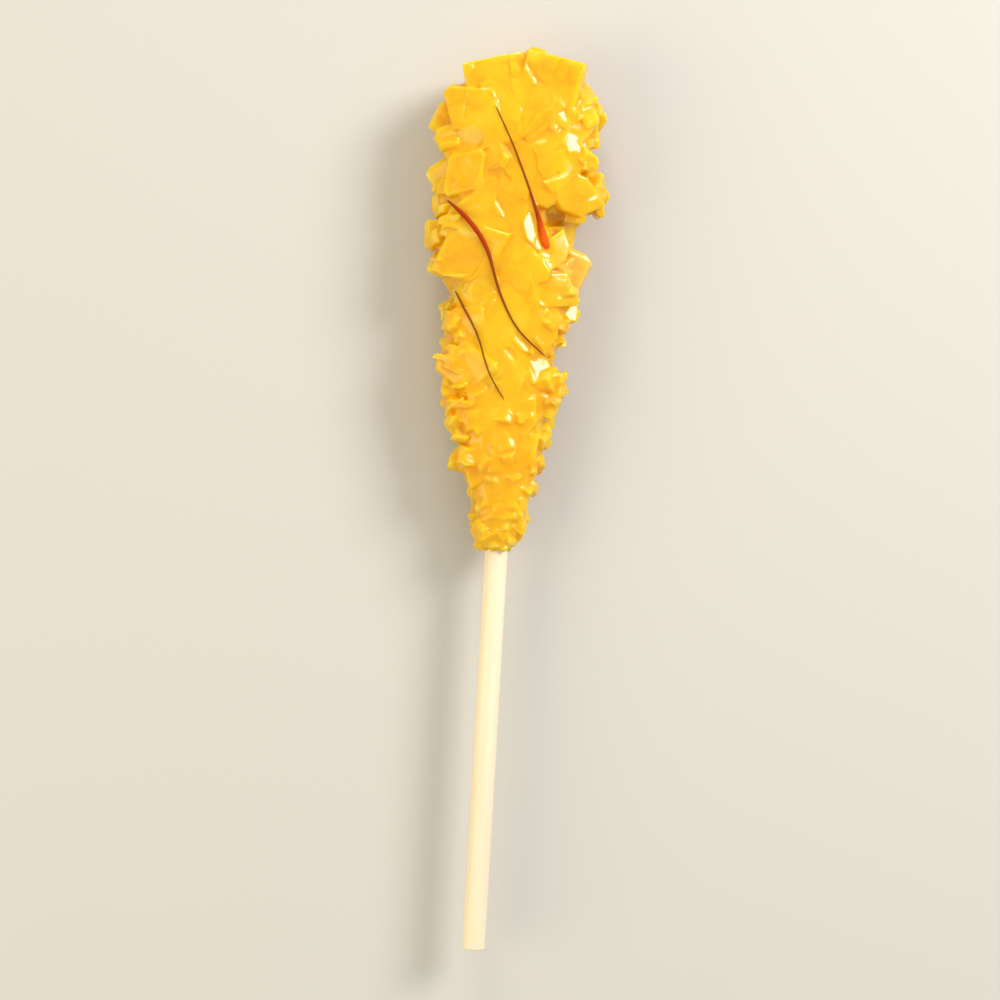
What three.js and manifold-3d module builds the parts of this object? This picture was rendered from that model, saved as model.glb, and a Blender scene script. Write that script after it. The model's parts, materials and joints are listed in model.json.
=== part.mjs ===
// A saffron rock candy stirrer, lying on a table with its shown side up.
// Units are millimetres. +Y runs from the stick's bare end to the candy's wide end,
// +X is the right-hand side seen from above, and +Z is up, with the table at z = 0.

import * as THREE from "three";
import { ConvexGeometry } from "three/addons/geometries/ConvexGeometry.js";
import { mergeVertices } from "three/addons/utils/BufferGeometryUtils.js";
import Module from "manifold-3d";

// Whole stirrer
const TOTAL_LENGTH = 150;
const CANDY_LENGTH = 83;
const AXIS_HEIGHT = 7.8;

// Stick
const STICK_DIAMETER = 3.8;
const STICK_SIDES = 24;
const STICK_EASED_EDGE = 0.3;
const STICK_BURIED = 62;
const STICK_GAP = 0.3;

// How far the candy reaches from the stick's axis, at even steps from its narrow end to its wide end
const LEFT_REACH = [3.8, 4.8, 7.9, 10.4, 11.2, 11.8, 14.2, 14.8, 14.5, 12.9, 8.8];
const RIGHT_REACH = [2.9, 5.8, 7.2, 8.9, 9.8, 11.3, 12.0, 13.8, 14.0, 13.2, 9.0];
const TOP_REACH = [2.9, 3.9, 5.0, 5.9, 6.5, 7.0, 7.4, 7.6, 7.5, 6.9, 5.2];
const UNDER_REACH = [2.9, 4.2, 5.7, 7.1, 8.0, 8.1, 8.1, 8.1, 7.9, 7.0, 5.0];
const SECTION_POWER = 2.6;

// Places where an edge steps in (below zero) or out of that reach: side -1 is left and 1 is right
const STEPS_IN_EDGE = [
  { side: 1, along: 53.3, half: 4.2, rise: -6.8 },
  { side: -1, along: 65.4, half: 2.4, rise: -2.2 },
  { side: -1, along: 42.6, half: 3.4, rise: -1.8 },
  { side: 1, along: 31.2, half: 2.4, rise: -2.0 },
  { side: 1, along: 26.6, half: 3.0, rise: 1.0 },
  { side: 1, along: 16.4, half: 2.0, rise: -1.0 },
  { side: -1, along: 13.4, half: 2.4, rise: 1.6 },
];

// The clouded body under the crystals: its shares of the outer form, and how unevenly its facets lie
const BODY = { across: 0.86, up: 0.965, end: 80.5, rings: 13, sides: 18, uneven: 0.28, hollow: 0.08 };

// The crystals' tables below give each random size as a range. A growth runs from the narrow end to the
// wide end.

// Flat crystals that overlap on the upper and under faces, deepest in the middle of the face. A plate
// is narrower where the room beside it is short, and left out under the least width.
const PLATES = {
  start: 16,
  end: 73,
  pitch: 6.4,
  spread: 0.8,
  stray: [-1.3, 1.3],
  slide: [-1.9, 1.9],
  tilt: 3.5,
  sunk: 0.35,
  depth: [0.3, 0],
  growth: [5.3, 11.5],
  size: [0.6, 1.3],
  slimness: [0.7, 1],
  clear: 3,
  roomShare: 1.6,
  overhang: 1.5,
  least: 1.4,
};

// Thin plates that stand side by side along both edges, above and below the middle by turns
const EDGES = {
  start: 13,
  end: 77,
  pitch: 2.2,
  slide: [-0.55, 0.55],
  level: 12,
  stray: [-5, 5],
  tilt: 12,
  growth: [3.4, 6.2],
  size: [0.8, 1.3],
  reach: [0.2, -1.6],
  breadth: [1.4, 3.6],
  roll: [-0.35, 0.35],
};

// Plates that stand out of the outline by themselves: the middle of each one's end edge, and the
// direction in degrees that it points to, from the right round to the wide end
const TEETH = [
  { tip: [-14.5, 71.6], lean: 151, width: 4.2, breadth: 5.0 },
  { tip: [-14.9, 51.4], lean: 186, width: 6.0, breadth: 4.6 },
  { tip: [14.2, 56.0], lean: -66, width: 1.5, breadth: 3.6 },
  { tip: [14.2, 61.4], lean: -4, width: 5.6, breadth: 3.0 },
  { tip: [-8.2, 14.8], lean: 157, width: 3.6, breadth: 3.4 },
  { tip: [9.9, 27.3], lean: 0, width: 5.0, breadth: 3.6 },
  { tip: [12.4, 75.6], lean: 22, width: 3.6, breadth: 1.8 },
];
const TOOTH = { tilt: 5, rise: [-1, 1], roll: [-0.15, 0.15] };

// Small crystals in rings round the narrow end
const GRAINS = {
  start: 2.2,
  end: 27,
  pitch: 3.9,
  spacing: 4.9,
  fewest: 5,
  turn: [0, 0.4],
  slide: [-1, 1],
  tilt: 26,
  size: [0.7, 1.2],
  growth: [2.2, 5.6],
  breadth: [0.8, 1.6],
  rise: [-0.48, 0.32],
  length: 4.2,
};

// Large crystals that fan out of the wide end, half of them above its middle and half below, and lie
// further back towards the sides
const CROWN = {
  count: 10,
  fan: 66,
  lift: 0.12,
  tilt: 8,
  reach: 11.6,
  back: [4.4, 6.0],
  bow: 6,
  level: 2.8,
  stray: [-0.4, 0.4],
  width: [5, 8],
  breadth: [3.5, 5.3],
  roll: [-0.25, 0.25],
};

// The wide end's big plates, in three stacks whose upper ones make a low roof: the middle of each one's
// end edge and its lean in degrees
const ROOF = [
  { middle: [-5.2, 80.9], lean: -15, width: 10.2, rise: 4.0 },
  { middle: [-6.0, 79.9], lean: -21, width: 8.4, rise: 1.7 },
  { middle: [-2.9, 80.3], lean: -7, width: 7.6, rise: -0.9 },
  { middle: [5.6, 81.4], lean: 11.5, width: 9.8, rise: 4.9 },
  { middle: [6.6, 80.2], lean: 17, width: 8.0, rise: 2.3 },
  { middle: [3.4, 80.6], lean: 4, width: 8.6, rise: -0.2 },
  { middle: [-1.6, 79.2], lean: -4, width: 9.4, rise: -3.2 },
];
const ROOF_THICKNESS = 2.7;

// The kinds of crystal: height, shoulder under the free end, how far the end narrows, and how far the
// outline leans and has two corners cut off, as shares of its width
const KINDS = {
  plate: { height: 4.2, shoulder: 0.35, taper: [0.93, 0.93], lean: 0.2, cut: 0.3 },
  slab: { height: 4.2, shoulder: 0.3, taper: [0.9, 0.95], lean: -0.34, cut: 0.16 },
  edge: { height: 6.5, shoulder: 0.7, taper: [0.6, 0.86], lean: 0.12, cut: 0 },
  grain: { height: 4.2, shoulder: 0.7, taper: [0.5, 0.8], lean: 0.12, cut: 0 },
  crown: { height: 15, shoulder: 1.2, taper: [0.8, 0.6], lean: 0.12, cut: 0.25 },
  roof: { height: 22, shoulder: 0.8, taper: [0.97, 0.8], lean: 0.05, cut: 0 },
};

// Saffron threads on the upper face: each one's route, and half its width at even steps along it
const THREADS = [
  {
    route: [[-4.3, 72.5], [-0.4, 64.8], [3.2, 56.2], [5.5, 49.6]],
    halves: [0.2, 0.2, 0.2, 0.2, 0.3, 0.58, 0.66],
  },
  {
    route: [[-11.4, 56.8], [-7.4, 53.3], [-4.4, 49.0], [-1.8, 41.9], [1.4, 36.3], [6.3, 32.0]],
    halves: [0.2, 0.38, 0.36, 0.24, 0.2, 0.2, 0.2],
  },
  {
    route: [[-9.2, 42.0], [-7.2, 38.6], [-5.0, 34.6], [-2.9, 28.9], [-0.2, 24.6]],
    halves: [0.2, 0.2, 0.2],
  },
];
const THREAD_STEPS = 14;
const THREAD_SIDES = 5;
const THREAD_SUNK = 0.25;
const THREAD_FLATNESS = 0.8;

const SUGAR_COLOUR = 0xf8bd18;
const STICK_COLOUR = 0xf3e8d2;

const FORM_SEED = 23;
const SMALLEST_EDGE = 0.08;

const wasm = await Module();
wasm.setup();

// Repeatable random numbers from 0 to 1.
function randomStream(seed) {
  const modulus = 2147483647;
  const factor = 16807;
  let state = seed * 7919 + 1;
  return () => {
    state = (state * factor) % modulus;
    return (state - 1) / (modulus - 1);
  };
}

// A smooth curve through values at even steps, where share runs from 0 to 1.
function through(values, share) {
  const place = THREE.MathUtils.clamp(share, 0, 1) * (values.length - 1);
  const step = Math.min(Math.floor(place), values.length - 2);
  const f = place - step;
  const at = (i) => values[THREE.MathUtils.clamp(i, 0, values.length - 1)];
  const [a, b, c, d] = [at(step - 1), at(step), at(step + 1), at(step + 2)];
  return b + 0.5 * f * (c - a + f * (2 * a - 5 * b + 4 * c - d + f * (3 * (b - c) + d - a)));
}

// How far the candy reaches to the left (side -1) or the right (side 1), with its steps.
function sideReach(along, side) {
  const steps = STEPS_IN_EDGE.filter((step) => step.side === side);
  const rises = steps.map(({ along: at, half, rise }) => {
    const off = Math.min(Math.abs(along - at) / half, 1);
    return rise * (1 - off * off) ** 2;
  });
  const whole = through(side < 0 ? LEFT_REACH : RIGHT_REACH, along / CANDY_LENGTH);
  return rises.reduce((reach, rise) => reach + rise, whole);
}

// A point of the candy's outer form, from the distance along it and the angle round the stick.
function outerPoint(along, angle, share = 1) {
  const t = along / CANDY_LENGTH;
  const side = sideReach(along, Math.cos(angle) < 0 ? -1 : 1);
  const rise = through(Math.sin(angle) < 0 ? UNDER_REACH : TOP_REACH, t);
  const across = Math.pow(Math.abs(Math.cos(angle)) / side, SECTION_POWER);
  const up = Math.pow(Math.abs(Math.sin(angle)) / rise, SECTION_POWER);
  const radius = share * Math.pow(across + up, -1 / SECTION_POWER);
  return new THREE.Vector3(radius * Math.cos(angle), along, radius * Math.sin(angle));
}

// The outward direction of the outer form at that place.
function outerNormal(along, angle) {
  const turn = 0.02;
  const low = Math.max(along - 1, 0);
  const high = Math.min(along + 1, CANDY_LENGTH);
  const alongway = outerPoint(high, angle).sub(outerPoint(low, angle));
  const round = outerPoint(along, angle + turn).sub(outerPoint(along, angle - turn));
  return alongway.cross(round).normalize();
}

// A closed geometry with only positions, as a solid that can be joined and cut.
function solidOf(geometry) {
  const bare = geometry.clone();
  bare.deleteAttribute("normal");
  bare.deleteAttribute("uv");
  const merged = mergeVertices(bare);
  return new wasm.Manifold(
    new wasm.Mesh({
      numProp: 3,
      vertProperties: merged.attributes.position.array,
      triVerts: new Uint32Array(merged.index.array),
    }),
  );
}

function geometryOf(solid) {
  const mesh = solid.getMesh();
  const positions = new Float32Array(mesh.numVert * 3);
  for (let i = 0; i < mesh.numVert; i++) {
    const start = i * mesh.numProp;
    positions.set(mesh.vertProperties.subarray(start, start + 3), i * 3);
  }
  const indexed = new THREE.BufferGeometry();
  indexed.setAttribute("position", new THREE.BufferAttribute(positions, 3));
  indexed.setIndex(new THREE.BufferAttribute(mesh.triVerts, 1));
  const flat = indexed.toNonIndexed();
  flat.computeVertexNormals();
  return flat;
}

// One sugar crystal: a block that narrows above its shoulder, standing with its free end towards +Z.
function crystalGeometry(kind, width, breadth, height) {
  const { shoulder, taper, lean, cut } = KINDS[kind];
  const whole = [
    [-0.5, -0.5],
    [0.5, -0.5],
    [0.5, 0.5],
    [-0.5, 0.5],
  ];
  const clipped = [
    [-0.5, -0.5],
    [0.5 - cut, -0.5],
    [0.5, -0.5 + cut],
    [0.5, 0.5],
    [-0.5 + cut, 0.5],
    [-0.5, 0.5 - cut],
  ];
  const shoulderHeight = (shoulder * height) / KINDS[kind].height;
  const level = (z, share) =>
    (cut > 0 ? clipped : whole).map(
      ([x, y]) => new THREE.Vector3((x + lean * y) * width * share[0], y * breadth * share[1], z),
    );
  return new ConvexGeometry([
    ...level(-height / 2, [1, 1]),
    ...level(height / 2 - shoulderHeight, [1, 1]),
    ...level(height / 2, taper),
  ]);
}

// A crystal whose free end's middle lies at tip, pointing outward, turned by roll about that direction.
function placedCrystal({ kind, width, breadth, height = KINDS[kind].height, tip, outward, roll }) {
  const alongStick = new THREE.Vector3(0, 1, 0);
  const upright = new THREE.Vector3(0, 0, 1);
  const reference = Math.abs(outward.y) < 0.8 ? alongStick : upright;
  const sideways = new THREE.Vector3().crossVectors(reference, outward).normalize();
  sideways.applyAxisAngle(outward, roll);
  const forward = new THREE.Vector3().crossVectors(outward, sideways);
  const centre = tip.clone().addScaledVector(outward, -height / 2);
  const matrix = new THREE.Matrix4().makeBasis(sideways, forward, outward).setPosition(centre);
  return solidOf(crystalGeometry(kind, width, breadth, height).applyMatrix4(matrix));
}

// The value at a share of the way through a range.
function between([low, high], share) {
  return low + (high - low) * share;
}

// A direction turned by a random tilt of up to so many degrees either way about each axis.
function tilted(direction, degrees, random) {
  const turn = () => THREE.MathUtils.degToRad(degrees) * between([-1, 1], random());
  return direction
    .clone()
    .applyAxisAngle(new THREE.Vector3(1, 0, 0), turn())
    .applyAxisAngle(new THREE.Vector3(0, 1, 0), turn())
    .applyAxisAngle(new THREE.Vector3(0, 0, 1), turn())
    .normalize();
}

// The clouded body: uneven rings of the outer form drawn in, closed at both ends.
function bodySolid() {
  const { rings, sides, uneven } = BODY;
  const points = [];
  const index = [];
  for (let ring = 0; ring <= rings; ring++) {
    for (let side = 0; side < sides; side++) {
      const random = randomStream(1 + ring * sides + side);
      random();
      const inner = ring > 0 && ring < rings ? 1 : 0;
      const alongShift = uneven * (2 * random() - 1) * inner;
      const sideShift = uneven * (2 * random() - 1);
      const share = 1 - BODY.hollow * uneven * random();
      const angle = ((side + sideShift) / sides) * 2 * Math.PI;
      const point = outerPoint(((ring + alongShift) / rings) * BODY.end, angle, share);
      points.push(point.x * BODY.across, point.y, point.z * BODY.up);
    }
  }
  for (let ring = 0; ring < rings; ring++) {
    for (let side = 0; side < sides; side++) {
      const next = (side + 1) % sides;
      const [a, b] = [ring * sides + side, ring * sides + next];
      const [c, d] = [a + sides, b + sides];
      index.push(a, c, b, b, c, d);
    }
  }
  for (let side = 1; side < sides - 1; side++) {
    const far = rings * sides;
    index.push(0, side, side + 1, far, far + side + 1, far + side);
  }
  const geometry = new THREE.BufferGeometry();
  geometry.setAttribute("position", new THREE.Float32BufferAttribute(points, 3));
  geometry.setIndex(index);
  return solidOf(geometry);
}

// How far a place lies from the edge on its side, there and a little further up and down.
function roomBeside(along, across) {
  const side = across < 0 ? -1 : 1;
  const reaches = [-PLATES.clear, 0, PLATES.clear].map((off) => sideReach(along + off, side));
  return Math.min(...reaches) - Math.abs(across);
}

// Flat crystals that overlap over the upper face (facing 1) or the under face (facing -1).
function facePlates(facing, random) {
  const plates = [];
  const rows = Math.round((PLATES.end - PLATES.start) / PLATES.pitch);
  for (let row = 0; row <= rows; row++) {
    const along = between([PLATES.start, PLATES.end], row / rows);
    const t = along / CANDY_LENGTH;
    const [left, right] = [sideReach(along, -1), sideReach(along, 1)];
    const columns = Math.max(2, Math.round(((left + right) * PLATES.spread) / PLATES.pitch));
    for (let column = 0; column < columns; column++) {
      const share = PLATES.spread * ((2 * (column + 0.5)) / columns - 1);
      const across = (share < 0 ? left : right) * share + between(PLATES.stray, random());
      const rise = through(facing < 0 ? UNDER_REACH : TOP_REACH, t);
      const angle = Math.atan2(facing * rise * Math.sqrt(1 - share * share), across);
      const place = along + between(PLATES.slide, random());
      const outward = tilted(outerNormal(place, angle), PLATES.tilt, random);
      const depth = PLATES.sunk * (1 - share * share) + between(PLATES.depth, random());
      const tip = outerPoint(place, angle).addScaledVector(outward, -depth);
      const size = between(PLATES.growth, t) * between(PLATES.size, random());
      const width = Math.min(size, PLATES.roomShare * roomBeside(along, across) + PLATES.overhang);
      const kind = random() < 0.5 ? "plate" : "slab";
      const breadth = width * between(PLATES.slimness, random());
      const roll = 2 * Math.PI * random();
      if (width > PLATES.least) plates.push({ kind, width, breadth, tip, outward, roll });
    }
  }
  return plates;
}

// Thin plates along the left edge (side -1) or the right edge (side 1), each with its own reach.
function edgeCrystals(side, random) {
  const crystals = [];
  const count = Math.round((EDGES.end - EDGES.start) / EDGES.pitch);
  for (let step = 0; step <= count; step++) {
    const along = EDGES.start + step * EDGES.pitch + between(EDGES.slide, random());
    const row = step % 2 ? EDGES.level : -EDGES.level;
    const level = THREE.MathUtils.degToRad(row + between(EDGES.stray, random()));
    const angle = side < 0 ? Math.PI - level : level;
    const outward = tilted(outerNormal(along, angle), EDGES.tilt, random);
    const width = between(EDGES.growth, along / CANDY_LENGTH) * between(EDGES.size, random());
    const tip = outerPoint(along, angle).addScaledVector(outward, between(EDGES.reach, random()));
    const breadth = between(EDGES.breadth, random());
    crystals.push({ kind: "edge", width, breadth, tip, outward, roll: between(EDGES.roll, random()) });
  }
  return crystals;
}

// The plates that stand out of the outline by themselves.
function teeth(random) {
  return TEETH.map((tooth) => {
    const lean = THREE.MathUtils.degToRad(tooth.lean);
    const outward = tilted(new THREE.Vector3(Math.cos(lean), Math.sin(lean), 0), TOOTH.tilt, random);
    const tip = new THREE.Vector3(...tooth.tip, between(TOOTH.rise, random()));
    const { width, breadth } = tooth;
    return { kind: "edge", width, breadth, tip, outward, roll: between(TOOTH.roll, random()) };
  });
}

// Small crystals in rings round the narrow end.
function narrowEndGrains(random) {
  const grains = [];
  const rings = Math.round((GRAINS.end - GRAINS.start) / GRAINS.pitch);
  for (let ring = 0; ring <= rings; ring++) {
    const along = between([GRAINS.start, GRAINS.end], ring / rings);
    const t = along / CANDY_LENGTH;
    const mean = (through(LEFT_REACH, t) + through(TOP_REACH, t)) / 2;
    const count = Math.max(GRAINS.fewest, Math.round((2 * Math.PI * mean) / GRAINS.spacing));
    for (let turn = 0; turn < count; turn++) {
      const shift = 0.5 * (ring % 2) + between(GRAINS.turn, random());
      const angle = ((turn + shift) / count) * 2 * Math.PI;
      const place = along + between(GRAINS.slide, random());
      const outward = tilted(outerNormal(place, angle), GRAINS.tilt, random);
      const width = between(GRAINS.growth, t) * between(GRAINS.size, random());
      const breadth = width * between(GRAINS.breadth, random());
      const tip = outerPoint(place, angle).addScaledVector(outward, between(GRAINS.rise, random()));
      const height = Math.min(GRAINS.length, mean);
      grains.push({ kind: "grain", width, breadth, height, tip, outward, roll: 2 * Math.PI * random() });
    }
  }
  return grains;
}

// Large crystals that fan out of the wide end.
function crownCrystals(random) {
  const crystals = [];
  for (let i = 0; i < CROWN.count; i++) {
    const share = (2 * (i + 0.5)) / CROWN.count - 1;
    const level = i % 2 ? 1 : -1;
    const fan = THREE.MathUtils.degToRad(CROWN.fan * share);
    const straight = new THREE.Vector3(Math.sin(fan), Math.cos(fan), CROWN.lift * level);
    const outward = tilted(straight, CROWN.tilt, random);
    const width = between(CROWN.width, random());
    const breadth = between(CROWN.breadth, random());
    const back = CROWN.bow * share * share + between(CROWN.back, random());
    const height = level * CROWN.level + between(CROWN.stray, random());
    const tip = new THREE.Vector3(CROWN.reach * share, CANDY_LENGTH - back, height);
    crystals.push({ kind: "crown", width, breadth, tip, outward, roll: between(CROWN.roll, random()) });
  }
  return crystals;
}

// The big plates of the wide end, at a different height each.
function roofPlates() {
  return ROOF.map(({ middle, lean, width, rise }) => {
    const degrees = THREE.MathUtils.degToRad(lean);
    const outward = new THREE.Vector3(Math.sin(degrees), Math.cos(degrees), 0);
    const tip = new THREE.Vector3(...middle, rise);
    return { kind: "roof", width, breadth: ROOF_THICKNESS, tip, outward, roll: 0 };
  });
}

// The highest point of a solid under a place, found by dropping a ray on it.
function heightFinder(solid) {
  const mesh = new THREE.Mesh(geometryOf(solid));
  const above = solid.boundingBox().max[2] + 1;
  const ray = new THREE.Raycaster();
  const down = new THREE.Vector3(0, 0, -1);
  return (x, y) => {
    ray.set(new THREE.Vector3(x, y, above), down);
    const hits = ray.intersectObject(mesh);
    return hits.length ? hits[0].point.z : 0;
  };
}

// A saffron thread: a thin tube that lies on the candy and follows its ups and downs.
function threadSolid({ route, halves }, heightAt) {
  const placeAt = (share) => {
    const [x, y] = [0, 1].map((axis) => through(route.map((point) => point[axis]), share));
    return new THREE.Vector2(x, y);
  };
  const points = [];
  const index = [];
  for (let step = 0; step <= THREAD_STEPS; step++) {
    const share = step / THREAD_STEPS;
    const at = placeAt(share);
    const near = 0.5 / THREAD_STEPS;
    const way = placeAt(share + near).sub(placeAt(share - near)).normalize();
    const half = through(halves, share);
    const height = heightAt(at.x, at.y) - THREAD_SUNK;
    for (let turn = 0; turn < THREAD_SIDES; turn++) {
      const angle = (turn / THREAD_SIDES) * 2 * Math.PI;
      const out = half * Math.cos(angle);
      const up = THREAD_FLATNESS * half * Math.sin(angle);
      points.push(at.x - way.y * out, at.y + way.x * out, height + up);
    }
  }
  for (let step = 0; step < THREAD_STEPS; step++) {
    for (let turn = 0; turn < THREAD_SIDES; turn++) {
      const next = (turn + 1) % THREAD_SIDES;
      const [a, b] = [step * THREAD_SIDES + turn, step * THREAD_SIDES + next];
      const [c, d] = [a + THREAD_SIDES, b + THREAD_SIDES];
      index.push(a, b, c, b, d, c);
    }
  }
  for (let turn = 1; turn < THREAD_SIDES - 1; turn++) {
    const far = THREAD_STEPS * THREAD_SIDES;
    index.push(0, turn + 1, turn, far, far + turn, far + turn + 1);
  }
  const geometry = new THREE.BufferGeometry();
  geometry.setAttribute("position", new THREE.Float32BufferAttribute(points, 3));
  geometry.setIndex(index);
  return solidOf(geometry);
}

// A round rod along Y with eased edges, from one place to another.
function rodGeometry(fromY, toY, radius, easedEdge) {
  const length = toY - fromY;
  const profile = [
    new THREE.Vector2(0, 0),
    new THREE.Vector2(radius - easedEdge, 0),
    new THREE.Vector2(radius, easedEdge),
    new THREE.Vector2(radius, length - easedEdge),
    new THREE.Vector2(radius - easedEdge, length),
    new THREE.Vector2(0, length),
  ];
  return new THREE.LatheGeometry(profile, STICK_SIDES).translate(0, fromY, 0);
}

// A big block whose top lies at the table, to cut the crystals that would reach through it.
function belowTable() {
  const size = 2 * TOTAL_LENGTH;
  return solidOf(new THREE.BoxGeometry(size, size, size).translate(0, 0, -AXIS_HEIGHT - size / 2));
}

// The outer body alone, without loose scraps and with its sealed hollows filled.
function largestBody(solid) {
  return solid.decompose().sort((a, b) => b.volume() - a.volume())[0];
}

// The whole candy, with its narrow end at y = 0 and the stick's axis at x = z = 0.
function candySolid() {
  const random = randomStream(FORM_SEED);
  const crystals = [
    ...facePlates(1, random),
    ...facePlates(-1, random),
    ...edgeCrystals(-1, random),
    ...edgeCrystals(1, random),
    ...teeth(random),
    ...narrowEndGrains(random),
    ...crownCrystals(random),
    ...roofPlates(),
  ];
  const grown = wasm.Manifold.union([bodySolid(), ...crystals.map(placedCrystal)]);
  const heightAt = heightFinder(grown);
  const threads = THREADS.map((thread) => threadSolid(thread, heightAt));
  const holeRadius = STICK_DIAMETER / 2 + STICK_GAP;
  const holeStart = grown.boundingBox().min[1] - 1;
  const hole = solidOf(rodGeometry(holeStart, STICK_BURIED + STICK_GAP, holeRadius, STICK_EASED_EDGE));
  const whole = wasm.Manifold.union([grown, ...threads]).subtract(hole).subtract(belowTable());
  return largestBody(largestBody(whole).simplify(SMALLEST_EDGE));
}

// The group is set so that its origin is at the middle of its box's base.
function stirrer() {
  const candy = candySolid();
  const { min, max } = candy.boundingBox();
  const narrowEnd = TOTAL_LENGTH / 2 - max[1];
  const place = new THREE.Vector3(-(min[0] + max[0]) / 2, narrowEnd, AXIS_HEIGHT);
  const stickStart = -TOTAL_LENGTH / 2 - narrowEnd;

  const candyMesh = new THREE.Mesh(
    geometryOf(candy),
    new THREE.MeshStandardMaterial({ color: SUGAR_COLOUR, roughness: 0.25, metalness: 0 }),
  );
  candyMesh.name = "candy";
  candyMesh.position.copy(place);

  const stickMesh = new THREE.Mesh(
    rodGeometry(stickStart, STICK_BURIED, STICK_DIAMETER / 2, STICK_EASED_EDGE),
    new THREE.MeshStandardMaterial({ color: STICK_COLOUR, roughness: 0.45, metalness: 0 }),
  );
  stickMesh.name = "stick";
  stickMesh.position.copy(place);

  const group = new THREE.Group();
  group.add(candyMesh, stickMesh);
  return group;
}

export default stirrer();
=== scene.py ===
import json
import math

import bmesh
import bpy
import numpy
from mathutils import Matrix, Quaternion, Vector
from mathutils.bvhtree import BVHTree
from mathutils.kdtree import KDTree

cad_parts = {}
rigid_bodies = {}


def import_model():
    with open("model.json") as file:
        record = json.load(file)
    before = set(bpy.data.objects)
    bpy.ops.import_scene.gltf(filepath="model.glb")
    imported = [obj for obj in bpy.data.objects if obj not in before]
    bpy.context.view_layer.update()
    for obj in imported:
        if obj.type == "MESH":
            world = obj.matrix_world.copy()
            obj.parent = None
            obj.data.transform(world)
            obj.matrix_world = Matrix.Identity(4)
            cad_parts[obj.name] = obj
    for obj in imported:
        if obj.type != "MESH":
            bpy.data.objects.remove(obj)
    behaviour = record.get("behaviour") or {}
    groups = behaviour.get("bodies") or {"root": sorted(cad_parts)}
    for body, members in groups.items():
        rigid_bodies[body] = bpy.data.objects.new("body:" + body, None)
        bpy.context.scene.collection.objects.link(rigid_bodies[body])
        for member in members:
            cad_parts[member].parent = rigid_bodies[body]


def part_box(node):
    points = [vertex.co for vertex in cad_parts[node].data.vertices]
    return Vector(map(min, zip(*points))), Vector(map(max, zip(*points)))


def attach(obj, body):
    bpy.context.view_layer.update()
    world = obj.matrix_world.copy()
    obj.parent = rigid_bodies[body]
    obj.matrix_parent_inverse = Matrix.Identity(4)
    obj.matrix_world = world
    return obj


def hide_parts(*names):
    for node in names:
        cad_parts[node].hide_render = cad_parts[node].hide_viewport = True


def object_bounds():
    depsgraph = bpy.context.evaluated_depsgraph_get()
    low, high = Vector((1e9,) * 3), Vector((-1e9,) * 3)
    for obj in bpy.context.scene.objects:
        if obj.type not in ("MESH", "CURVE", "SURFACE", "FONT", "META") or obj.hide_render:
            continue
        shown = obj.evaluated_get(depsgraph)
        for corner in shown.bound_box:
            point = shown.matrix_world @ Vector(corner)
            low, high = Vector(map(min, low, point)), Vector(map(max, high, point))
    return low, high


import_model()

bl_info = {
    "name": "Saffron rock candy stirrer",
    "version": (1, 0, 0),
    "blender": (4, 5, 0),
    "location": "View3D > Sidebar > Stirrer",
    "description": "Grows saffron rock sugar on a stick, lays its threads and sets a plain studio round it",
    "category": "Object",
}

CAD_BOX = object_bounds()
STICK_LOW, STICK_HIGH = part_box("stick")
CANDY_LOW, CANDY_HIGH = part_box("candy")
MM = 0.001

# The stick runs 62 mm into the sugar, from the sugar's narrow end
STICK_BURIED = 62 * MM
STICK_RADIUS = (STICK_HIGH.x - STICK_LOW.x) / 2
NARROW_END = Vector((
    (STICK_LOW.x + STICK_HIGH.x) / 2,
    STICK_HIGH.y - STICK_BURIED,
    (STICK_LOW.z + STICK_HIGH.z) / 2,
))
# From millimetres round the narrow end to metres in the shared frame, and back
TO_FRAME = Matrix.Translation(NARROW_END) @ Matrix.Scale(MM, 4)
FROM_FRAME = TO_FRAME.inverted()

# The candy's form, in millimetres: how far it reaches from the stick's axis at even steps from its
# narrow end to its wide end.
CANDY_LENGTH = 83
LEFT_REACH = [3.8, 4.8, 7.9, 10.4, 11.2, 11.8, 14.2, 14.8, 14.5, 12.9, 8.8]
RIGHT_REACH = [2.9, 5.8, 7.2, 8.9, 9.8, 11.3, 12.0, 13.8, 14.0, 13.2, 9.0]
TOP_REACH = [2.9, 3.9, 5.0, 5.9, 6.5, 7.0, 7.4, 7.6, 7.5, 6.9, 5.2]
UNDER_REACH = [2.9, 4.2, 5.7, 7.1, 8.0, 8.1, 8.1, 8.1, 7.9, 7.0, 5.0]
SECTION_POWER = 2.6
# Places where an edge steps in (below zero) or out of that reach
STEPS_IN_EDGE = [
    {"side": 1, "along": 53.3, "half": 4.2, "rise": -6.8},
    {"side": -1, "along": 65.4, "half": 2.4, "rise": -2.2},
    {"side": -1, "along": 42.6, "half": 3.4, "rise": -1.8},
    {"side": 1, "along": 31.2, "half": 2.4, "rise": -2.0},
    {"side": 1, "along": 26.6, "half": 3.0, "rise": 1.0},
    {"side": 1, "along": 16.4, "half": 2.0, "rise": -1.0},
    {"side": -1, "along": 13.4, "half": 2.4, "rise": 1.6},
]
# The inner body and the cloudy heart: their shares of the reach across and up, where they start and end
# along the stick, and how far their points stray from even places
BODY = {"across": 0.86, "up": 0.965, "start": 0, "end": 80.5, "rings": 13, "sides": 18, "uneven": 0.28}
BODY_HOLLOW = 0.08
HEART = {"across": 0.66, "up": 0.70, "start": 6, "end": 76, "rings": 36, "sides": 32, "uneven": 0}

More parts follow.
